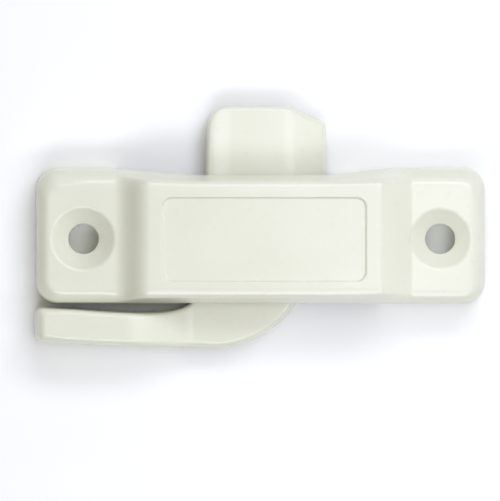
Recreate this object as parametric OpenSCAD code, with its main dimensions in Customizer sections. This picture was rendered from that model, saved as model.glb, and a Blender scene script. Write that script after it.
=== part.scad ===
// Cam-action window sash lock: a cast housing screwed flat to a sash, with one casting inside it
// that is the finger lever at one side and the locking tongue at the other.
// Frame: z = 0 is the mounting face, +Z points away from the sash, +X runs along the housing and
// +Y is the way the tongue points when locked. The origin lies midway between the screw holes.

/* [Mounting] */
// Distance between the two screw holes
hole_spacing = 60.3; // [60:0.1:62]
// Radius of the screw holes
hole_r = 2.55; // [2.2:0.05:2.8]
// Radius of the countersinks at the face of the end pads
sink_r = 5.3; // [4.8:0.1:5.6]

/* [Housing] */
// Distance from the origin to the left end
reach_left = 38.35; // [38:0.05:39.5]
// Distance from the origin to the right end
reach_right = 37.85; // [37.5:0.05:39]
// Half of the housing's width at its middle
half_w = 10.95; // [10.95:0.05:11.5]
// How far the ends widen on the tongue's side
wing = 1.1; // [0.5:0.1:1.5]
// Height of the end pads
pad_h = 8.2; // [7.8:0.1:8.6]
// Height of the raised middle
top_h = 12.4; // [12.2:0.1:13]
// Wall thickness at the sides
wall = 0.95; // [0.8:0.05:0.95]
// How far the sides of the end pads lean in above their upright part
pad_lean = 1.5; // [1:0.1:1.8]
// How far the sides of the raised middle lean in above their upright part
middle_lean = 1.35; // [0.8:0.05:1.5]
// Depth of the blank panel in the raised middle
panel_depth = 0.35; // [0.2:0.05:0.4]

/* [Cam lever] */
// How far the tongue's tip is from the pivot
tongue_reach = 22.75; // [20:0.25:22.75]
// Thickness of the hub plate and the tongue
plate_t = 3.3; // [2.8:0.1:3.3]
// Height of the finger bar's face
bar_h = 9; // [7:0.5:10]
// Radius of the hub's bore, which holds the bushing
hub_bore_r = 4.1; // [4:0.05:4.4]
// Distance from the pivot to the two flats that the detent spring rests on
flat_d = 5.5; // [5.3:0.05:5.6]

/* [Pivot] */
// Radius of the housing's pivot post
post_r = 3.4; // [3.2:0.05:3.4]
// Thickness of the base plate
base_t = 0.95; // [0.8:0.05:0.95]

/* [Hidden] */
$fn = 72;
eps = 0.5;

ivory = "#e6e7da";
zinc = "#b9bcc0";
spring_steel = "#8d9299";
nylon = "#f1efe8";

// Heights, from the mounting face upward
base_z = 0.25;
base_top = base_z + base_t;
washer_t = 0.5;
plate_z = base_top + washer_t;
plate_top = plate_z + plate_t;
sweep_gap = 0.35;
sweep_z = plate_top + sweep_gap;
collar_top = 8.6;
wave_h = 0.6;
shoulder_z = collar_top + wave_h;
roof_t = 1.05;
roof_z = top_h - panel_depth - roof_t;
boss_top = pad_h - 1;

// Housing outline, and the height at which its sides start to lean in
corner_r = 3.7;
pad_upright = 5.8;
middle_upright = 5.6;
wing_left = [-26.8, -10];
wing_right = [11, 23.5];
ramp_left = [-23.3, -20.2];
ramp_right = [20.4, 25.2];
panel = [[-16.8, -7.25], [17.6, 7.0]];
panel_r = 1.7;
boss_r = 5.9;
spigot_r = 3.9;
shoulder_r = 5.7;

// Hollow of the housing
seat_in = 1.7;
seat_r = 2.2;
pocket_in = 2.7;
pocket_r = 1.2;
pocket_w = 8.8;
pocket_z = pad_h - 2.2;
sweep_x = [-24.3, 20];
roof_w = 8.6;
// Ends of the high space under the raised middle, at its foot and under the roof
roof_foot = [ramp_left[0] + 1.3, ramp_right[1] - 1.7];
roof_ends = [ramp_left[1] + 1.1, ramp_right[0] - 1.1];

// Openings in the side walls, as far as the cam lever sweeps
tongue_slot = [-24.3, 11.5];
lever_slot = [-13.3, 19.4];

// Cam lever outline
tongue_left = -9.7;
tongue_right = 11.1;
tongue_r = 3.6;
crest_x = 4.6;
lead_drop = 2.1;
dish_x = [-8.2, crest_x];
dish_depth = 0.25;
hub_r = 8.4;
collar_r = 6.2;
heel_c = [-8.1, -2.2];
heel_r = 16.4;
bar_end = -38.85;
bar_top = -11.5;
bar_low = -17.75;
bar_end_r = 1.6;
// Underside of the finger bar, which reaches down beside the housing from this far out
bar_z = 0.5;
bar_drop_x = -14.2;
// Rise of the bar's face from the hub plate: position along X and share of the full rise
bar_rise = [[-12.7, 0], [-16, 0.54], [-18.5, 0.81], [-20.5, 0.95], [-22.8, 1]];

// Room round the base plate, the pivot screw and the parts that slide on the post
fit = 0.25;
close_fit = 0.02;
slide_fit = 0.05;

// Detent spring, a flat strip held at both ends under the roof, and the ribs that hold it
strip_t = 0.35;
strip_gap = 0.03;
strip_x = flat_d + strip_gap;
strip_z = [5.9, 8.3];
strip_half = roof_w - fit;
rib_y = 6.6;
rib_x = [strip_x - 0.7, strip_x + strip_t + 1.2];
rib_slot = [strip_x - 0.05, strip_x + strip_t + 0.7];
rib_root = 0.3;
rib_lip = 0.2;
strip_play = 0.1;

// Washers
thrust_r = 6.6;
wave_r = [post_r + 0.2, shoulder_r - 0.1];
wave_t = 0.25;

// Pivot screw
screw_r = 1.25;
screw_head_r = 2.3;
screw_end = 8.4;
recess_r = 1.1;
recess_w = 0.44;
recess_depth = 0.6;

// Points of an arc about c
function arc(c, r, a0, a1, n = 8) =
    [for (i = [0:n]) c + r * [cos(a0 + (a1 - a0) * i / n), sin(a0 + (a1 - a0) * i / n)]];

// A box whose plan has round corners; lo and hi are its corners on plan
module rounded_plate(lo, hi, r, h) {
    w = hi - lo;
    translate([lo[0], lo[1], 0])
        linear_extrude(h)
            polygon(concat(
                arc([w[0] - r, w[1] - r], r, 0, 90),
                arc([r, w[1] - r], r, 90, 180),
                arc([r, r], r, 180, 270),
                arc([w[0] - r, r], r, 270, 360)));
}

// A block with leaning sides over an end pad, tapering from its widened end to the middle's width
module end_block(side, reach, near, far) {
    module slice(inset, h) {
        linear_extrude(h)
            polygon([for (p = concat(
                [[near, half_w - inset], [near, inset - half_w]],
                arc([reach - corner_r, corner_r - half_w], corner_r - inset, -90, 0),
                arc([reach - corner_r, half_w + wing - corner_r], corner_r - inset, 0, 90),
                [[far, half_w + wing - inset]])) [side * p[0], p[1]]]);
    }
    hull() {
        slice(0, pad_upright);
        slice(pad_lean, pad_h);
    }
}

// The raised middle, with a ramp down to each pad
module middle_block() {
    module slab(x0, x1, z) {
        y = half_w - middle_lean * max(0, z - middle_upright) / (top_h - middle_upright);
        translate([x0, -y, 0])
            cube([x1 - x0, 2 * y, z]);
    }
    hull() {
        slab(ramp_left[0], ramp_right[1], middle_upright);
        slab(ramp_left[0], ramp_right[1], pad_h);
        slab(ramp_left[1], ramp_right[0], top_h);
    }
}

module housing_cavity() {
    inner_w = half_w - wall;
    // Seat of the base plate
    translate([0, 0, -eps])
        rounded_plate([-reach_left + seat_in, -inner_w], [reach_right - seat_in, inner_w],
            seat_r, base_top + eps);
    // Pockets under the end pads
    rounded_plate([-reach_left + pocket_in, -pocket_w], [reach_right - pocket_in, pocket_w],
        pocket_r, pocket_z);
    // Low space that the cam lever sweeps through
    translate([sweep_x[0], -inner_w, 0])
        cube([sweep_x[1] - sweep_x[0], 2 * inner_w, sweep_z]);
    // High space under the raised middle
    translate([0, roof_w, 0])
        rotate([90, 0, 0])
            linear_extrude(2 * roof_w)
                polygon([
                    [roof_foot[0], sweep_z - eps], [roof_foot[1], sweep_z - eps],
                    [roof_ends[1], roof_z], [roof_ends[0], roof_z]]);
    // Opening for the tongue, and the one for the lever on the other side
    translate([tongue_slot[0], 0, -eps])
        cube([tongue_slot[1] - tongue_slot[0], half_w + wing + eps, sweep_z + eps]);
    translate([lever_slot[0], -half_w - eps, -eps])
        cube([lever_slot[1] - lever_slot[0], half_w, sweep_z + eps]);
}

// Round post that the cam lever turns on, with the spring washer's shoulder at its root
module pivot_post() {
    translate([0, 0, base_top])
        cylinder(h = roof_z - base_top + eps, r = post_r);
    translate([0, 0, shoulder_z])
        cylinder(h = roof_z - shoulder_z + eps, r = shoulder_r);
}

// Boss round a screw hole; its narrow foot locates the base plate
module screw_boss() {
    cylinder(h = boss_top, r = spigot_r);
    translate([0, 0, base_top])
        cylinder(h = boss_top - base_top, r = boss_r);
}

// Two ribs under the roof that hold the ends of the detent spring
module spring_ribs() {
    for (side = [-1, 1])
        translate([rib_x[0], side > 0 ? rib_y : -roof_w - rib_root, strip_z[0] - rib_lip])
            cube([rib_x[1] - rib_x[0], roof_w + rib_root - rib_y, roof_z - strip_z[0] + eps]);
}

module housing() {
    color(ivory)
        difference() {
            union() {
                difference() {
                    union() {
                        end_block(-1, reach_left, -wing_left[1], -wing_left[0]);
                        end_block(1, reach_right, wing_right[0], wing_right[1]);
                        middle_block();
                    }
                    housing_cavity();
                }
                pivot_post();
                spring_ribs();
                for (x = [-hole_spacing / 2, hole_spacing / 2])
                    translate([x, 0, 0])
                        screw_boss();
            }
            for (x = [-hole_spacing / 2, hole_spacing / 2])
                translate([x, 0, 0]) {
                    translate([0, 0, -eps])
                        cylinder(h = pad_h + 2 * eps, r = hole_r);
                    translate([0, 0, pad_h - (sink_r - hole_r)])
                        cylinder(h = sink_r - hole_r, r1 = hole_r, r2 = sink_r);
                    translate([0, 0, pad_h])
                        cylinder(h = top_h - pad_h, r = sink_r);
                }
            translate([0, 0, top_h - panel_depth])
                rounded_plate(panel[0], panel[1], panel_r, panel_depth + eps);
            translate([0, 0, base_top - eps])
                cylinder(h = screw_end + eps, r = screw_r + close_fit);
            // Slot for the detent spring, open below
            translate([rib_slot[0], -strip_half - strip_play, strip_z[0] - rib_lip - strip_play])
                cube([rib_slot[1] - rib_slot[0], 2 * (strip_half + strip_play),
                    strip_z[1] - strip_z[0] + rib_lip + 2 * strip_play]);
        }
}

// Outline of tongue, hub plate and finger bar in one
function lever_outline() = concat(
    [[tongue_right, 8.5], [tongue_right, 18.6]],
    arc([tongue_right - 1.5, tongue_reach - 3.7], 1.5, 10, 75, 4),
    [[7.35, tongue_reach - 1.45], [5.65, tongue_reach - 0.5], [3.95, tongue_reach]],
    arc([tongue_left + 0.3 + tongue_r, tongue_reach - tongue_r], tongue_r, 90, 180),
    [[tongue_left, 11], [tongue_left, 5], [-8.6, 1], [-9, -5]],
    [[-12.3, -10.5], [-12.9, -11.2]],
    [[-14.7, -11.85], [-16.8, -12.15], [-19.9, -12.25], [-25.9, -12.1], [-35, bar_top]],
    arc([bar_end + bar_end_r, bar_top - bar_end_r], bar_end_r, 90, 180),
    arc([bar_end + bar_end_r, bar_low + bar_end_r], bar_end_r, 180, 270),
    [[-29, -18], [-20, -18.25]],
    arc(heel_c, heel_r, 261, 355, 24),
    [[8.7, 2]]);

// Side profile that steps the casting from the hub plate to the taller finger bar
module lever_profile() {
    translate([0, tongue_reach + 1, 0])
        rotate([90, 0, 0])
            linear_extrude(2 * tongue_reach)
                polygon(concat(
                    [[bar_end - 1, bar_z], [bar_drop_x, bar_z], [bar_drop_x, plate_z],
                        [tongue_right + 1, plate_z], [tongue_right + 1, plate_top]],
                    [for (p = bar_rise) [p[0], plate_top + p[1] * (bar_h - plate_top)]],
                    [[bar_end - 1, bar_h]]));
}

module cam_lever() {
    dish_w = dish_x[1] - dish_x[0];
    dish_r = dish_w * dish_w / 8 / dish_depth + dish_depth / 2;
    color(ivory)
        difference() {
            union() {
                intersection() {
                    linear_extrude(bar_h + 1)
                        polygon(lever_outline());
                    lever_profile();
                }
                translate([0, 0, plate_z])
                    cylinder(h = plate_t, r = hub_r);
                // Collar with two flats, a quarter turn apart
                difference() {
                    translate([0, 0, plate_z])
                        cylinder(h = collar_top - plate_z, r = collar_r);
                    translate([flat_d, -collar_r, plate_top])
                        cube([collar_r, 2 * collar_r, collar_top]);
                    translate([-collar_r, -flat_d - collar_r, plate_top])
                        cube([2 * collar_r, collar_r, collar_top]);
                }
            }
            translate([0, 0, plate_z - eps])
                cylinder(h = collar_top, r = hub_bore_r);
            // Lead-in slope on the edge that meets the keeper first
            translate([0, tongue_reach + 1, 0])
                rotate([90, 0, 0])
                    linear_extrude(tongue_reach - 8)
                        polygon([
                            [crest_x, plate_top], [tongue_right + 1, plate_top - lead_drop],
                            [tongue_right + 1, plate_top + 1], [crest_x, plate_top + 1]]);
            // Shallow dish along the tongue's face
            translate([(dish_x[0] + dish_x[1]) / 2, 9, plate_top - dish_depth + dish_r])
                rotate([-90, 0, 0])
                    cylinder(h = tongue_reach, r = dish_r, $fn = 180);
        }
}

// Plain sleeve pressed into the hub, turning on the post
module pivot_bushing() {
    color(nylon)
        difference() {
            translate([0, 0, plate_z])
                cylinder(h = collar_top - plate_z, r = hub_bore_r);
            translate([0, 0, plate_z - eps])
                cylinder(h = collar_top, r = post_r + slide_fit);
        }
}

// Ring bent into three waves, which loads the hub against the base plate
module wave_washer() {
    steps = 48;
    amp = (wave_h - wave_t) / 2;
    function ring(k) = [for (i = [0:steps - 1])
        let (a = 360 * i / steps, z = collar_top + amp + amp * cos(3 * a))
            [wave_r[k % 2] * cos(a), wave_r[k % 2] * sin(a), z + (k > 1 ? wave_t : 0)]];
    // Rings in order round the section: lower inner, lower outer, upper outer, upper inner
    order = [0, 1, 3, 2];
    color(spring_steel)
        polyhedron(
            points = [for (k = order) each ring(k)],
            faces = [for (j = [0:3]) for (i = [0:steps - 1])
                let (n = (j + 1) % 4, m = (i + 1) % steps)
                    [j * steps + i, n * steps + i, n * steps + m, j * steps + m]]);
}

// Flat ring that the hub slides on
module thrust_washer() {
    color(nylon)
        translate([0, 0, base_top])
            difference() {
                cylinder(h = washer_t, r = thrust_r);
                translate([0, 0, -eps])
                    cylinder(h = washer_t + 2 * eps, r = post_r + 2 * slide_fit);
            }
}

module detent_spring() {
    color(spring_steel)
        translate([strip_x, -strip_half, strip_z[0]])
            cube([strip_t, 2 * strip_half, strip_z[1] - strip_z[0]]);
}

// Stamped plate that closes the housing's back; the screw bosses' feet locate it
module base_plate() {
    color(zinc)
        difference() {
            translate([0, 0, base_z])
                rounded_plate([-reach_left + seat_in + fit, wall - half_w + fit],
                    [reach_right - seat_in - fit, half_w - wall - fit], seat_r - fit + slide_fit,
                    base_t);
            for (x = [-hole_spacing / 2, hole_spacing / 2])
                translate([x, 0, 0])
                    cylinder(h = base_top + eps, r = spigot_r + 2 * slide_fit);
            translate([0, 0, base_z])
                cylinder(h = base_t, r1 = screw_head_r + close_fit, r2 = screw_r + 2 * slide_fit);
            translate([0, 0, base_z - eps])
                cylinder(h = eps, r = screw_head_r + close_fit);
            translate([0, 0, base_top - 0.05])
                cylinder(h = eps, r = screw_r + 2 * slide_fit);
        }
}

// Flat-head screw driven into the post from the back
module pivot_screw() {
    color(zinc)
        difference() {
            union() {
                translate([0, 0, base_z])
                    cylinder(h = base_t, r1 = screw_head_r, r2 = screw_r);
                translate([0, 0, base_z])
                    cylinder(h = screw_end - base_z, r = screw_r);
            }
            for (a = [0, 90])
                rotate(a)
                    translate([-recess_r, -recess_w / 2, 0])
                        cube([2 * recess_r, recess_w, base_z + recess_depth]);
        }
}

housing();
cam_lever();
pivot_bushing();
wave_washer();
thrust_washer();
detent_spring();
base_plate();
pivot_screw();
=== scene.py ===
"""Looks of the window sash lock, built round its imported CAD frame.

The castings, the base plate and its screw are modelled as distance fields: one function a piece
gives each point's distance from its surface in millimetres, with the soft edges that casting and
enamel leave. net() turns a field into a mesh, and the mesh's points then settle on the surface.
"""

import functools
import math

import bpy
import numpy as np
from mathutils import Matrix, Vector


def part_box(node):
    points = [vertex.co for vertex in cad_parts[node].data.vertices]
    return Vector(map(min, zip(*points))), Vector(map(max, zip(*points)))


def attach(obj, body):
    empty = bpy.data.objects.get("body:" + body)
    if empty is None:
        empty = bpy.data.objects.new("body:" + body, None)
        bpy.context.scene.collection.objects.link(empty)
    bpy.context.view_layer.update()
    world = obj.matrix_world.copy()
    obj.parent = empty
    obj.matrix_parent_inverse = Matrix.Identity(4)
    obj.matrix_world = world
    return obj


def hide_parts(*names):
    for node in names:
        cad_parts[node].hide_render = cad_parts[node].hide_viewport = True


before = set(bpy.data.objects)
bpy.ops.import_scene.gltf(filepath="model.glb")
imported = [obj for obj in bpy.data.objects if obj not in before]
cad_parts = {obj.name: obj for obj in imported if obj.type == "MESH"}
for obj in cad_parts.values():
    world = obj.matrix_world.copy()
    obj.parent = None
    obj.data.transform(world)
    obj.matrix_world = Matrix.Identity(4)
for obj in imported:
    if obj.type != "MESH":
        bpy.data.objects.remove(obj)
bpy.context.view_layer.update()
MM = 0.001


def cad_box(node):
    """Lowest and highest corner of a CAD node, in millimetres."""
    low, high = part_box(node)
    return np.array(low) / MM, np.array(high) / MM


HOUSING_LOW, HOUSING_HIGH = cad_box("housing")
LEVER_LOW, LEVER_HIGH = cad_box("cam_lever")
PLATE_LOW, PLATE_HIGH = cad_box("base_plate")
SCREW_LOW, SCREW_HIGH = cad_box("pivot_screw")
BUSH_LOW, BUSH_HIGH = cad_box("pivot_bushing")
STRIP_LOW, STRIP_HIGH = cad_box("detent_spring")

# Housing's outside, in millimetres
HOLE_X = 30.15
HOLE_R = 2.55
SINK_R = 5.3
HALF_W = -HOUSING_LOW[1]
WING = HOUSING_HIGH[1] - HALF_W
TOP_Z = HOUSING_HIGH[2]
PAD_Z = 8.2
RAMP_EASE = 0.35
CORNER_R = 3.7
CROWN_W = 1.6
CROWN_DROP = 0.4
EDGE_R = 0.55
WORN_EDGE = 1.75
WORN_CORNER_SHARE = 0.5
BACK_EDGE_R = 0.2
PANEL_LOW, PANEL_HIGH = (-16.8, -7.25), (17.6, 7.0)
PANEL_R = 1.7
PANEL_DEPTH = 0.4
PANEL_LEAN = 0.6
PANEL_SCALE = 0.86
PANEL_EDGE_R = 0.05
PANEL_BLEND = 0.08

# Stretches of the housing's outside, from and to. The worn ones are measured to the left of x = 0,
# and WORN_FRONT towards the finger bar from y = 0.
WING_LEFT = (-26.8, -10.0)
WING_RIGHT = (11.0, 23.5)
RAMP_LEFT = (-23.3, -20.2)
RAMP_RIGHT = (20.4, 25.2)
FRONT_TURN = (14, 25)
WORN_END = (29, 38)
WORN_CORNER = (20, 28)
WORN_FRONT = (0, 8)

# Values for the housing's left end and its right end
SINK_TRIM = (0, 0.2)
RAMP_FOOT_BLEND = (2.2, 0.3)
RAMP_HEAD_BLEND = (1.9, 0.9)
CORNER_TRIM = (0.2, 1.2)
BACK_WING_LEAN = (0.7, 0.95)

# The housing's walls are nearly upright to these heights, and lean in from there to the top.
PAD_UPRIGHT = 5.8
MIDDLE_UPRIGHT = 5.6
LEAN_BLEND = 1.0
LEAN_LIMIT = 1.5
LEFT_DRAFT, LEFT_LEAN = 0.4, 0.2
RIGHT_DRAFT, RIGHT_LEAN = 0.2, 1.6
BACK_DRAFT, BACK_LEAN = 0.12, 1.3
FRONT_DRAFT, FRONT_LEAN = 0.05, 0.6
FRONT_RIGHT_LEAN = 0.2
FRONT_MIDDLE_LEAN = 0.5

# Housing's inside, in millimetres. SWEEP_X and both slots run from one x to another, and the roof's
# feet and slopes are those of its left and right ramps.
BASE_Z = PLATE_HIGH[2]
WALL = 0.95
SEAT_MARGIN = 1.7
SEAT_R = 2.2
POCKET_MARGIN = 2.7
POCKET_HALF_W = 8.8
POCKET_R = 1.2
POCKET_TOP_R = 0.6
PAD_T = 2.2
SWEEP_X = (-24.3, 20)
SWEEP_Z = BUSH_LOW[2] + 3.65
ROOF_T = 1.05
ROOF_HALF_W = 8.6
ROOF_R = 0.8
ROOF_FEET = (-22.4, 23.7)
ROOF_SLOPES = (1.54, 1.27)
TONGUE_SLOT = (-24.3, 11.5)
LEVER_SLOT = (-13.3, 19.4)
SLOT_R = 0.3
POST_R = 3.4
SHOULDER_R = 5.7
SHOULDER_GAP = 0.6
BOSS_R = 5.9
BOSS_FOOT_R = 3.9
RIB_SHIFT = 0.25
RIB_HALF_T = 1.1
RIB_REACH = 6.6
RIB_DROP = 0.2
SLIT_SHIFT = 0.5
SLIT_HALF_W = 0.55
SCREW_BORE_R = 1.27
END_GAP = 0.1
BLEND = 0.3

# Cam lever, in millimetres
HUB_LOW_Z = BUSH_LOW[2]
HUB_TOP = HUB_LOW_Z + 3.3
HUB_R = 8.4
HUB_BORE_R = BUSH_HIGH[0]
HUB_BORE_BLEND = 0.1
COLLAR_R = 6.2
COLLAR_EDGE_R = 0.15
COLLAR_ROOT = 1
FLAT_D = 5.5
HEEL_C = (-8.1, -2.2)
HEEL_R = 16.4
BAR_LOW_Z = LEVER_LOW[2]
BAR_ROOT_X = -14.2
BAR_BEND_X = -22.0
BAR_SHOULDER_X = -18.5
BAR_FOOT_X = -12.7
BAR_EASE = 0.22
BAR_END_LEAN = 1.15
BAR_END_BLEND = 1.0
SHOULDER_BLEND = 1.8
FOOT_BLEND = 0.9
LEVER_DRAFT = 0.4
LEVER_CROWN_W = 1.2
LEVER_CROWN_DROP = 0.15
LEVER_EDGE_R = 0.7
TONGUE_EDGE_TRIM = 0.25
BAR_END_EDGE = 0.6
TONGUE_ROOT = (8.0, 10.0)
CREST_X = 4.6
LEAD_SLOPE = 0.32
LEAD_BLEND = 0.35
DISH_X = -8.3
DISH_W = 3.3
DISH_DEPTH = 0.27

# Base plate and pivot screw, in millimetres
PLATE_R = 2.0
PLATE_HALF_T = 0.475
PLATE_EDGE_R = 0.15
PLATE_HOLE_R = 4.0
PLATE_HOLE_EDGE_R = 0.12
PLATE_BORE_R = 1.35
SEAT_GAP = 0.05
CONE_SLOPE = 1.05
CONE_SCALE = 0.7
CONE_EDGE_R = 0.08
HEAD_R = 2.22
SHANK_R = 1.2
SHANK_TIP_R = 0.2
SHANK_START = 0.3
NECK_BLEND = 0.1
CROSS_R = 1.15
CROSS_HALF_W = 0.22
CROSS_DEPTH = 0.75
CROSS_TAPER = 0.9
CROSS_BLEND = 0.06


# ---------------------------------------------------------------- distance field tools


def soft_max(a, b, k):
    """max(a, b) with the crease blended over k."""
    h = np.maximum(k - np.abs(a - b), 0) / k
    return np.maximum(a, b) + h * h * k / 4


def soft_min(a, b, k):
    return -soft_max(-a, -b, k)


def round_max(a, b, r):
    """Where both solids are, with the edge between them rounded to radius r."""
    return np.minimum(np.maximum(a, b), -r) + np.hypot(np.maximum(a + r, 0), np.maximum(b + r, 0))


def step(x, low, high):
    """0 below low, 1 above high, and a smooth rise between."""
    t = np.clip((x - low) / (high - low), 0, 1)
    return t * t * (3 - 2 * t)


def rectangle(x, y, low, high, r=0.0):
    """Distance from a rectangle with round corners."""
    qx = np.abs(x - (low[0] + high[0]) / 2) - (high[0] - low[0]) / 2 + r
    qy = np.abs(y - (low[1] + high[1]) / 2) - (high[1] - low[1]) / 2 + r
    return np.hypot(np.maximum(qx, 0), np.maximum(qy, 0)) + np.minimum(np.maximum(qx, qy), 0) - r


def outline_distance(x, y, points):
    """Distance from a closed outline, below 0 inside it."""
    nearest = np.full(x.shape, np.inf)
    inside = np.zeros(x.shape, bool)
    for (x0, y0), (x1, y1) in zip(points, np.roll(points, -1, axis=0)):
        ex, ey, px, py = x1 - x0, y1 - y0, x - x0, y - y0
        t = np.clip((px * ex + py * ey) / (ex * ex + ey * ey), 0, 1)
        nearest = np.minimum(nearest, np.hypot(px - t * ex, py - t * ey))
        if y0 != y1:
            inside ^= ((y >= y0) != (y >= y1)) & (px < py * ex / ey)
    return np.where(inside, -nearest, nearest)


def arc(centre, r, start, end, n=8):
    """Points of an arc, with its angles in degrees."""
    a = np.radians(np.linspace(start, end, n + 1))
    return np.column_stack([centre[0] + r * np.cos(a), centre[1] + r * np.sin(a)])


def cut_corners(points, times=2):
    """Rounds a closed outline by cutting its corners, each time at a quarter of each side."""
    for _ in range(times):
        after = np.roll(points, -1, axis=0)
        points = np.stack([points * 0.75 + after * 0.25, points * 0.25 + after * 0.75], 1)
        points = points.reshape(-1, 2)
    return points


# ---------------------------------------------------------------- mesh from a field


def net(field, low, size):
    """Points and quads of the field's zero surface: one point in each grid cell that it crosses."""
    inside = field < 0
    corners = [(i, j, k) for i in (0, 1) for j in (0, 1) for k in (0, 1)]
    n = np.array(field.shape) - 1
    count = sum(inside[i:n[0] + i, j:n[1] + j, k:n[2] + k].astype(np.int8) for i, j, k in corners)
    crossed = (count > 0) & (count < 8)
    cells = np.argwhere(crossed)
    number = np.full(crossed.shape, -1)
    number[crossed] = np.arange(len(cells))
    total, hits = np.zeros((len(cells), 3)), np.zeros(len(cells))
    for a in corners:
        for b in corners:
            if sum(b) - sum(a) != 1 or min(np.subtract(b, a)) < 0:
                continue
            fa, fb = field[tuple((cells + a).T)], field[tuple((cells + b).T)]
            cut = (fa < 0) != (fb < 0)
            t = fa[cut] / (fa[cut] - fb[cut])
            total[cut] += np.array(a) + t[:, None] * np.subtract(b, a)
            hits[cut] += 1
    points = low + size * (cells + total / hits[:, None])
    quads = []
    for axis in range(3):
        first, last = [slice(1, -1)] * 3, [slice(1, -1)] * 3
        first[axis], last[axis] = slice(0, -1), slice(1, None)
        near, far = inside[tuple(first)], inside[tuple(last)]
        edges = np.argwhere(near != far)
        leaving = near[tuple(edges.T)]
        shift = np.ones(3, int)
        shift[axis] = 0
        edges = edges + shift
        du, dv = np.eye(3, dtype=int)[(axis + 1) % 3], np.eye(3, dtype=int)[(axis + 2) % 3]
        ring = np.column_stack([number[tuple((edges - d).T)] for d in (0 * du, du, du + dv, dv)])
        quads.append(np.where(leaving[:, None], ring, ring[:, ::-1]))
    return points, np.vstack(quads)


def slope(distance, p, h=0.01):
    """The field's gradient at each point."""
    out = np.zeros_like(p)
    for axis in range(3):
        d = np.zeros(3)
        d[axis] = h
        out[:, axis] = (distance(*(p + d).T) - distance(*(p - d).T)) / (2 * h)
    return out


def settle(distance, p, reach, times=5):
    """Moves points onto the field's zero surface, each by at most reach a time."""
    flattest = 0.05
    for _ in range(times):
        g = slope(distance, p)
        move = distance(*p.T)[:, None] * g / np.maximum((g * g).sum(1), flattest)[:, None]
        length = np.linalg.norm(move, axis=1)[:, None]
        p = p - move * np.minimum(1, reach / np.maximum(length, 1e-9))
    return p


def link(name, data):
    """A new object of a mesh, a lamp or a camera, put in the scene."""
    piece = bpy.data.objects.new(name, data)
    bpy.context.scene.collection.objects.link(piece)
    return piece


def solid(name, distance, low, high, size, keep=1.0):
    """A mesh of the field, made on a grid of that size and thinned to a share of its faces."""
    margin = 2.5 * size
    low = np.array(low) - margin
    counts = np.ceil((np.array(high) + margin - low) / size).astype(int) + 1
    grid = [low[i] + size * np.arange(counts[i]) for i in range(3)]
    x, y, z = np.meshgrid(*grid, indexing="ij", sparse=True)
    field = distance(x, y, z) + 0 * (x + y + z)
    points, quads = net(field, low, size)
    points = settle(distance, points, size * 0.6)
    mesh = bpy.data.meshes.new(name)
    mesh.from_pydata((points * MM).tolist(), [], quads.tolist())
    if keep < 1:
        piece = link(name, mesh)
        thin = piece.modifiers.new("thin", "DECIMATE")
        thin.ratio = keep
        graph = bpy.context.evaluated_depsgraph_get()
        mesh = bpy.data.meshes.new_from_object(piece.evaluated_get(graph))
        bpy.data.objects.remove(piece)
        mesh.name = name
        points = np.array([v.co for v in mesh.vertices]) / MM
        points = settle(distance, points, size * 0.3)
        mesh.vertices.foreach_set("co", (points * MM).ravel())
    normals = slope(distance, points)
    normals /= np.linalg.norm(normals, axis=1)[:, None]
    mesh.polygons.foreach_set("use_smooth", np.ones(len(mesh.polygons), bool))
    mesh.update()
    mesh.normals_split_custom_set_from_vertices(normals)
    return link(name, mesh)


# ---------------------------------------------------------------- housing


def top_height(x):
    """Height of the housing's upper face along its length: pad, ramp, middle, ramp, pad."""
    rise = TOP_Z - PAD_Z
    left = PAD_Z + rise * (x - RAMP_LEFT[0]) / (RAMP_LEFT[1] - RAMP_LEFT[0])
    right = PAD_Z + rise * (RAMP_RIGHT[1] - x) / (RAMP_RIGHT[1] - RAMP_RIGHT[0])
    left = soft_min(soft_max(left, PAD_Z, RAMP_FOOT_BLEND[0]), TOP_Z, RAMP_HEAD_BLEND[0])
    right = soft_min(soft_max(right, PAD_Z, RAMP_FOOT_BLEND[1]), TOP_Z, RAMP_HEAD_BLEND[1])
    return np.minimum(left, right)


def housing_block(x, y, z):
    """The outside of the housing, with no openings."""
    height = top_height(x)
    middle = (height - PAD_Z) / (TOP_Z - PAD_Z)
    upright = PAD_UPRIGHT + (MIDDLE_UPRIGHT - PAD_UPRIGHT) * middle
    draft = np.clip(z / upright, 0, 1)
    leaning = soft_max(z - upright, 0 * z, LEAN_BLEND) / (height - upright)
    leaning = np.clip(leaning, 0, LEAN_LIMIT)
    widened = np.maximum(1 - step(x, *WING_LEFT), step(x, *WING_RIGHT))
    back_lean = BACK_LEAN + np.where(x < 0, *BACK_WING_LEAN) * widened
    back = y - HALF_W - WING * widened + BACK_DRAFT * draft + back_lean * leaning
    front_lean = FRONT_LEAN + FRONT_RIGHT_LEAN * step(x, *FRONT_TURN) + FRONT_MIDDLE_LEAN * middle
    front = -y - HALF_W + FRONT_DRAFT * draft + front_lean * leaning
    left_end = HOUSING_LOW[0] - x + LEFT_DRAFT * draft + LEFT_LEAN * leaning
    right_end = x - HOUSING_HIGH[0] + RIGHT_DRAFT * draft + RIGHT_LEAN * leaning
    corner_r = CORNER_R - np.where(x < 0, *CORNER_TRIM) * leaning
    side = round_max(np.maximum(left_end, right_end), np.maximum(back, front), corner_r)
    crown = CROWN_DROP * (np.maximum(side + CROWN_W, 0) / CROWN_W) ** 2
    face = (z - height + crown) * (1 - RAMP_EASE * np.sin(np.pi * np.clip(middle, 0, 1)))
    worn_end = step(-x, *WORN_END)
    worn_corner = WORN_CORNER_SHARE * step(-x, *WORN_CORNER) * step(-y, *WORN_FRONT)
    edge_r = EDGE_R + WORN_EDGE * np.maximum(worn_end, worn_corner)
    return round_max(round_max(side, face, edge_r), -z, BACK_EDGE_R)


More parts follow.
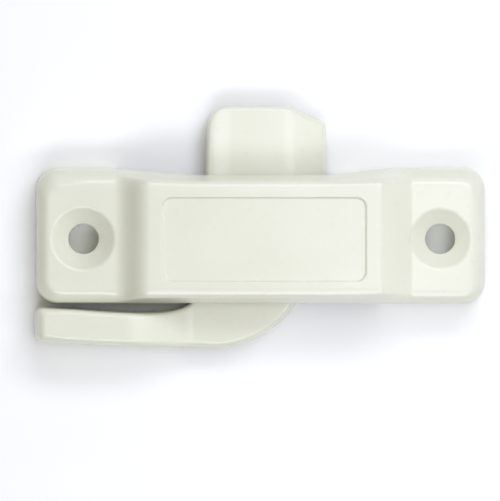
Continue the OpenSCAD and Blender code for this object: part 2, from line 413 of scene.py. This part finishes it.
def housing_hollow(x, y, z):
    """The space inside the housing, open to the sash and through both side slots."""
    inner, far = HALF_W - WALL, 40
    left, right = HOUSING_LOW[0], HOUSING_HIGH[0]
    seat_low, seat_high = (left + SEAT_MARGIN, -inner), (right - SEAT_MARGIN, inner)
    seat = np.maximum(rectangle(x, y, seat_low, seat_high, SEAT_R), z - BASE_Z)
    pocket_low = (left + POCKET_MARGIN, -POCKET_HALF_W)
    pocket_high = (right - POCKET_MARGIN, POCKET_HALF_W)
    pocket = rectangle(x, y, pocket_low, pocket_high, POCKET_R)
    pocket = round_max(pocket, z - PAD_Z + PAD_T, POCKET_TOP_R)
    sweep = rectangle(x, y, (SWEEP_X[0], -inner), (SWEEP_X[1], inner), SLOT_R)
    sweep = np.maximum(sweep, z - SWEEP_Z)
    left_roof = ROOF_SLOPES[0] * (x - ROOF_FEET[0])
    right_roof = ROOF_SLOPES[1] * (ROOF_FEET[1] - x)
    ceiling = np.minimum(np.minimum(left_roof, right_roof) + SWEEP_Z, TOP_Z - PANEL_DEPTH - ROOF_T)
    roof = round_max(np.abs(y) - ROOF_HALF_W, z - ceiling, ROOF_R)
    tongue = rectangle(x, y, (TONGUE_SLOT[0], 0), (TONGUE_SLOT[1], far), SLOT_R)
    lever = rectangle(x, y, (LEVER_SLOT[0], -far), (LEVER_SLOT[1], 0), SLOT_R)
    slots = np.maximum(np.minimum(tongue, lever), z - SWEEP_Z)
    return functools.reduce(np.minimum, (seat, pocket, sweep, roof, slots))


def housing_supports(x, y, z):
    """Pivot post with its shoulder, screw bosses, and the ribs that hold the spring strip."""
    rho = np.hypot(x, y)
    post = np.maximum(rho - POST_R, BASE_Z - z)
    shoulder = np.maximum(rho - SHOULDER_R, BUSH_HIGH[2] + SHOULDER_GAP - z)
    hole = np.hypot(np.abs(x) - HOLE_X, y)
    boss = np.minimum(np.maximum(hole - BOSS_R, BASE_Z - z), np.maximum(hole - BOSS_FOOT_R, -z))
    rib_x = np.abs(x - STRIP_LOW[0] - RIB_SHIFT) - RIB_HALF_T
    rib = np.maximum(np.maximum(rib_x, RIB_REACH - np.abs(y)), STRIP_LOW[2] - RIB_DROP - z)
    slit = np.abs(x - STRIP_LOW[0] - SLIT_SHIFT) - SLIT_HALF_W
    rib = np.maximum(rib, -np.maximum(slit, z - STRIP_HIGH[2] - END_GAP))
    return np.minimum(np.minimum(post, shoulder), np.minimum(boss, rib))


def housing_distance(x, y, z):
    block = housing_block(x, y, z)
    shell = soft_max(block, -housing_hollow(x, y, z), BLEND)
    supports = np.maximum(housing_supports(x, y, z), block + WALL / 2)
    body = soft_min(shell, supports, BLEND)
    hole = np.hypot(np.abs(x) - HOLE_X, y)
    sink = hole - SINK_R + np.where(x < 0, *SINK_TRIM)
    cone = np.maximum((sink - (z - PAD_Z)) * math.sqrt(0.5), sink)
    body = soft_max(body, -np.minimum(hole - HOLE_R, cone), BLEND)
    panel = rectangle(x, y, PANEL_LOW, PANEL_HIGH, PANEL_R)
    panel = (panel - PANEL_LEAN * (z - TOP_Z)) * PANEL_SCALE
    panel = round_max(panel, TOP_Z - PANEL_DEPTH - z, PANEL_EDGE_R)
    body = soft_max(body, -panel, PANEL_BLEND)
    bore = np.maximum(np.hypot(x, y) - SCREW_BORE_R, z - SCREW_HIGH[2] - END_GAP)
    return np.maximum(body, -bore)


# ---------------------------------------------------------------- cam lever


def lever_outline():
    """Outline of tongue, hub plate and finger bar in one, seen from the front."""
    left, right, top = -9.7, LEVER_HIGH[0], LEVER_HIGH[1] - 0.1
    end, low, high = LEVER_LOW[0], -17.6, -11.45
    tip_r, bar_r = 3.4, 1.9
    points = np.vstack([
        [[right, 8.5], [right, 14], [right - 0.1, 18.6]],
        arc((right - 1.75, top - 3.75), 1.5, 5, 72, 5),
        [[8.3, top - 1.95], [6.9, top - 1.25], [5.4, top - 0.35], [3.6, top]],
        [[-1, top]],
        arc((left + 0.35 + tip_r, top - tip_r), tip_r, 90, 176, 10),
        [[left + 0.1, 14], [left, 10], [left, 5], [-8.6, 1], [-9, -5]],
        [[-12.3, -10.5], [-12.9, -11.2], [-14.7, -11.85], [-16.8, -12.15], [-19.9, -12.25]],
        [[-25.9, -12.1], [-31, -11.7], [-35, -11.5]],
        arc((end + bar_r, high - bar_r), bar_r, 90, 180, 5),
        arc((end + bar_r, low + bar_r), bar_r, 180, 270, 5),
        [[-33, low - 0.1], [-29, -18], [-24, -18.15], [-20, -18.3], [-15, -18.45]],
        arc(HEEL_C, HEEL_R, 262, 355, 24),
        [[8.7, 2]],
    ])
    return cut_corners(points)


LEVER_OUTLINE = lever_outline()


def lever_top(x, y):
    """Height of the cam lever's upper face: bar, slope, hub plate, and the tongue's thinner end."""
    bar = LEVER_HIGH[2] - HUB_TOP
    steep = bar * (BAR_FOOT_X - x) / (BAR_FOOT_X - BAR_SHOULDER_X)
    gentle = bar - BAR_EASE * (x - BAR_BEND_X)
    rise = soft_max(soft_min(steep, gentle, SHOULDER_BLEND), 0 * x, FOOT_BLEND)
    rise = soft_min(rise, bar + 0 * x, BLEND)
    dish = DISH_DEPTH * step(x, DISH_X, DISH_X + DISH_W)
    lead = soft_max((x - CREST_X) * LEAD_SLOPE, 0 * x, LEAD_BLEND)
    return HUB_TOP + rise - (dish + lead) * step(y, *TONGUE_ROOT)


def lever_distance(x, y, z):
    rho = np.hypot(x, y)
    top = lever_top(x, y)
    rising = np.clip((z - HUB_LOW_Z) / (top - HUB_LOW_Z), 0, 1.2)
    outline = outline_distance(*np.broadcast_arrays(x, y), LEVER_OUTLINE)
    outline = np.minimum(outline, rho - HUB_R) + LEVER_DRAFT * rising
    outline = soft_max(outline, LEVER_LOW[0] - x + BAR_END_LEAN * rising, BAR_END_BLEND)
    crown = LEVER_CROWN_DROP * (np.maximum(outline + LEVER_CROWN_W, 0) / LEVER_CROWN_W) ** 2
    edge_r = LEVER_EDGE_R - TONGUE_EDGE_TRIM * step(y, -6, 6) + BAR_END_EDGE * step(-x, 33, 37)
    body = round_max(outline, z - top + crown, edge_r)
    under = np.where(x < BAR_ROOT_X, BAR_LOW_Z, HUB_LOW_Z)
    body = round_max(body, under - z, BLEND)
    collar = np.maximum(np.maximum(rho - COLLAR_R, x - FLAT_D), -y - FLAT_D)
    collar = round_max(collar, z - BUSH_HIGH[2], COLLAR_EDGE_R)
    collar = np.maximum(collar, HUB_TOP - COLLAR_ROOT - z)
    body = soft_min(body, collar, BLEND)
    return soft_max(body, HUB_BORE_R - rho, HUB_BORE_BLEND)


# ---------------------------------------------------------------- base plate and screw


def base_plate_distance(x, y, z):
    plate = rectangle(x, y, PLATE_LOW[:2], PLATE_HIGH[:2], PLATE_R)
    plate_z = np.abs(z - (PLATE_LOW[2] + PLATE_HIGH[2]) / 2)
    plate = round_max(plate, plate_z - PLATE_HALF_T, PLATE_EDGE_R)
    hole = np.hypot(np.abs(x) - HOLE_X, y)
    plate = round_max(plate, PLATE_HOLE_R - hole, PLATE_HOLE_EDGE_R)
    rho = np.hypot(x, y)
    seat = (SCREW_HIGH[0] + SEAT_GAP - (z - PLATE_LOW[2]) * CONE_SLOPE - rho) * CONE_SCALE
    return round_max(plate, np.maximum(seat, PLATE_BORE_R - rho), CONE_EDGE_R)


def screw_distance(x, y, z):
    rho = np.hypot(x, y)
    low = SCREW_LOW[2]
    cone = (rho - SCREW_HIGH[0] + (z - low) * CONE_SLOPE) * CONE_SCALE
    face = np.maximum(low - z, rho - HEAD_R)
    head = round_max(np.maximum(cone, z - PLATE_HIGH[2]), face, CONE_EDGE_R)
    shank = round_max(rho - SHANK_R, z - SCREW_HIGH[2], SHANK_TIP_R)
    shank = np.maximum(shank, low + SHANK_START - z)
    body = soft_min(head, shank, NECK_BLEND)
    u, v = (x + y) * math.sqrt(0.5), (x - y) * math.sqrt(0.5)
    reach = CROSS_R - (z - low) * CROSS_TAPER
    one_arm = np.maximum(np.abs(u) - CROSS_HALF_W, np.abs(v) - reach)
    other_arm = np.maximum(np.abs(v) - CROSS_HALF_W, np.abs(u) - reach)
    cross = np.maximum(np.minimum(one_arm, other_arm), z - low - CROSS_DEPTH)
    return soft_max(body, -cross, CROSS_BLEND)


# ---------------------------------------------------------------- materials


def new_material(name):
    """A material, its shader, and its node tools add(kind, inputs) and join(output, input)."""
    material = bpy.data.materials.new(name)
    material.use_nodes = True
    tree = material.node_tree
    shader = tree.nodes["Principled BSDF"]

    def add(kind, inputs=(), **settings):
        node = tree.nodes.new(kind)
        for key, value in settings.items():
            setattr(node, key, value)
        for key, value in dict(inputs).items():
            node.inputs[key].default_value = value
        return node

    return material, shader, add, tree.links.new


def noise_at(add, join, scale, detail=3.0, roughness=0.5):
    """Noise over the piece's own metres."""
    place = add("ShaderNodeTexCoord")
    noise = add("ShaderNodeTexNoise", {"Scale": scale, "Detail": detail, "Roughness": roughness})
    join(place.outputs["Object"], noise.inputs["Vector"])
    return noise


def ramp(add, join, source, low, high, start, end):
    """source, which runs from low to high, mapped to start..end."""
    limits = {"From Min": low, "From Max": high, "To Min": start, "To Max": end}
    out = add("ShaderNodeMapRange", limits)
    join(source, out.inputs["Value"])
    return out.outputs["Result"]


def mixed(add, join, factor, a, b):
    """Colour a where factor is 0 and b where it is 1. Each is a colour or a node's output."""
    mix = add("ShaderNodeMix", data_type="RGBA")
    join(factor, mix.inputs["Factor"])
    for socket, value in ((mix.inputs["A"], a), (mix.inputs["B"], b)):
        if isinstance(value, tuple):
            socket.default_value = (*value, 1)
        else:
            join(value, socket)
    return mix.outputs["Result"]


def enamel():
    """Baked ivory enamel on a casting: even, softly glossy, with a painted highlight that makes it
    paler along the edges.
    """
    material, shader, add, join = new_material("ivory_enamel")
    cloud = noise_at(add, join, 55, 2.0)
    grain = noise_at(add, join, 900, 3.0)
    peel = noise_at(add, join, 1500, 1.0, 0.4)
    wave = noise_at(add, join, 160, 1.0)
    warm, cool = (0.72, 0.727, 0.605), (0.75, 0.757, 0.64)
    colour = mixed(add, join, ramp(add, join, cloud.outputs["Fac"], 0.35, 0.65, 0, 1), warm, cool)
    speck = ramp(add, join, grain.outputs["Fac"], 0.62, 0.75, 0, 0.25)
    colour = mixed(add, join, speck, colour, (0.64, 0.64, 0.51))
    # Painted highlight: pointiness turns the sharp convex edges a paler ivory.
    edge = add("ShaderNodeNewGeometry")
    edge_highlight_and_wear = ramp(add, join, edge.outputs["Pointiness"], 0.53, 0.60, 0, 0.35)
    colour = mixed(add, join, edge_highlight_and_wear, colour, (0.80, 0.805, 0.71))
    join(colour, shader.inputs["Base Color"])
    join(ramp(add, join, grain.outputs["Fac"], 0.3, 0.7, 0.30, 0.40), shader.inputs["Roughness"])
    shader.inputs["Coat Weight"].default_value = 0.42
    shader.inputs["Coat Roughness"].default_value = 0.17
    fine = add("ShaderNodeBump", {"Strength": 0.06, "Distance": 0.0001})
    broad = add("ShaderNodeBump", {"Strength": 0.10, "Distance": 0.0003})
    join(peel.outputs["Fac"], fine.inputs["Height"])
    join(wave.outputs["Fac"], broad.inputs["Height"])
    join(fine.outputs["Normal"], broad.inputs["Normal"])
    join(broad.outputs["Normal"], shader.inputs["Normal"])
    return material


def metal(name, dull, bright, rough, brush=(1, 1, 1)):
    """Plated or spring steel: cloudy, with fine marks drawn out along the axis of low brush."""
    material, shader, add, join = new_material(name)
    place = add("ShaderNodeTexCoord")
    stretch = add("ShaderNodeMapping")
    stretch.inputs["Scale"].default_value = brush
    join(place.outputs["Object"], stretch.inputs["Vector"])
    lines = add("ShaderNodeTexNoise", {"Scale": 700, "Detail": 4.0})
    join(stretch.outputs["Vector"], lines.inputs["Vector"])
    cloud = noise_at(add, join, 180, 4.0)
    blend = ramp(add, join, cloud.outputs["Fac"], 0.35, 0.65, 0, 1)
    colour = mixed(add, join, blend, dull, bright)
    # Rubbed wear: sharp edges of the steel show brighter metal.
    edge = add("ShaderNodeNewGeometry")
    edge_highlight_and_wear = ramp(add, join, edge.outputs["Pointiness"], 0.53, 0.62, 0, 0.5)
    colour = mixed(add, join, edge_highlight_and_wear, colour, tuple(min(1, 1.25 * c) for c in bright))
    join(colour, shader.inputs["Base Color"])
    shader.inputs["Metallic"].default_value = 1
    join(ramp(add, join, lines.outputs["Fac"], 0.3, 0.7, rough - 0.07, rough + 0.1),
         shader.inputs["Roughness"])
    bump = add("ShaderNodeBump", {"Strength": 0.15, "Distance": 0.00005})
    join(lines.outputs["Fac"], bump.inputs["Height"])
    join(bump.outputs["Normal"], shader.inputs["Normal"])
    return material


def nylon():
    """Unfilled nylon: creamy white, with a waxy surface."""
    material, shader, add, join = new_material("white_nylon")
    cloud = noise_at(add, join, 300, 3.0)
    blend = ramp(add, join, cloud.outputs["Fac"], 0.3, 0.7, 0, 1)
    colour = mixed(add, join, blend, (0.78, 0.76, 0.68), (0.85, 0.84, 0.78))
    join(colour, shader.inputs["Base Color"])
    join(ramp(add, join, cloud.outputs["Fac"], 0.3, 0.7, 0.42, 0.55), shader.inputs["Roughness"])
    shader.inputs["Subsurface Weight"].default_value = 0.1
    shader.inputs["Subsurface Scale"].default_value = 0.001
    bump = add("ShaderNodeBump", {"Strength": 0.1, "Distance": 0.00005})
    join(noise_at(add, join, 2500, 2.0).outputs["Fac"], bump.inputs["Height"])
    join(bump.outputs["Normal"], shader.inputs["Normal"])
    return material


def paper():
    """The pale, matt floor."""
    material, shader, add, join = new_material("floor_paper")
    cloud = noise_at(add, join, 40, 3.0)
    blend = ramp(add, join, cloud.outputs["Fac"], 0.3, 0.7, 0, 1)
    colour = mixed(add, join, blend, (0.94, 0.94, 0.94), (0.96, 0.96, 0.96))
    join(colour, shader.inputs["Base Color"])
    shader.inputs["Roughness"].default_value = 0.8
    shader.inputs["Specular IOR Level"].default_value = 0.2
    return material


def dress(piece, material):
    """Gives a piece its one material."""
    piece.data.materials.clear()
    piece.data.materials.append(material)


# ---------------------------------------------------------------- pieces

IVORY = enamel()
ZINC = metal("zinc_plated_steel", (0.42, 0.43, 0.45), (0.60, 0.61, 0.63), 0.32, (0.15, 1, 1))
SPRING = metal("spring_steel", (0.20, 0.20, 0.21), (0.34, 0.34, 0.36), 0.28, (1, 0.15, 1))
NYLON = nylon()

# Node, its field, body, material and slot, then the grid's size and the share of faces kept
PIECES = [
    ("housing", housing_distance, "base", IVORY, "ivory_enamel", 0.27, 0.45),
    ("cam_lever", lever_distance, "lever", IVORY, "lever_enamel", 0.30, 0.6),
    ("base_plate", base_plate_distance, "base", ZINC, "zinc_plated_steel", 0.22, 0.25),
    ("pivot_screw", screw_distance, "base", ZINC, "zinc_plated_steel", 0.10, 0.5),
]

for node, distance, body, material, slot, size, keep in PIECES:
    low, high = cad_box(node)
    piece = solid(node + "_finished", distance, low, high, size, keep)
    dress(piece, material)
    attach(piece, body)
    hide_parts(node)

for node, material in (("pivot_bushing", NYLON), ("thrust_washer", NYLON),
                       ("wave_washer", SPRING), ("detent_spring", SPRING)):
    dress(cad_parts[node], material)


# ---------------------------------------------------------------- studio


LAMPS = [
    ("key", (0.055, 0.03, 0.20), (0.11, 0.11), 0.082),
    ("upper_box", (0.07, 0.20, 0.25), (0.28, 0.09), 0.430),
    ("lower_box", (0.03, -0.10, 0.18), (0.25, 0.05), 0.132),
    ("front_box", (-0.06, -0.20, 0.25), (0.20, 0.10), 0.166),
    ("right_box", (0.40, 0.0, 0.10), (0.30, 0.15), 0.136),
    ("back_box", (0.0, 0.30, 0.12), (0.40, 0.10), 0.120),
]


def build_floor():
    """A wide plane just under the lock's mounting face."""
    bpy.ops.mesh.primitive_plane_add(size=4, location=(0, 0, -0.0001))
    floor = bpy.context.object
    floor.name = "studio_floor"
    floor.data.materials.append(paper())


def build_lights():
    """Warm light from all round, and cooler soft boxes aimed at the lock."""
    world = bpy.data.worlds.new("soft_studio")
    world.use_nodes = True
    background = world.node_tree.nodes["Background"]
    background.inputs["Color"].default_value = (1, 0.975, 0.79, 1)
    background.inputs["Strength"].default_value = 0.305
    bpy.context.scene.world = world
    for name, place, size, watts in LAMPS:
        lamp = bpy.data.lights.new(name, "AREA")
        lamp.shape = "RECTANGLE"
        lamp.size, lamp.size_y = size
        lamp.energy = watts
        lamp.color = (0.965, 0.985, 1.12)
        lamp_object = link(name, lamp)
        lamp_object.location = place
        aim = -lamp_object.location
        lamp_object.rotation_euler = aim.to_track_quat("-Z", "Y").to_euler()


def build_camera():
    """Straight above the face, far off with a long lens, framed as a 500 by 501 picture."""
    distance, view_width = 1.40, 0.08503
    camera = bpy.data.cameras.new("camera")
    camera.sensor_width = 36
    camera.lens = camera.sensor_width * distance / view_width
    camera.clip_start = 0.01
    camera_object = link("camera", camera)
    camera_object.location = (-0.0020, -0.00197, distance)
    bpy.context.scene.camera = camera_object


build_floor()
build_lights()
build_camera()
bpy.context.scene.view_settings.view_transform = "Standard"
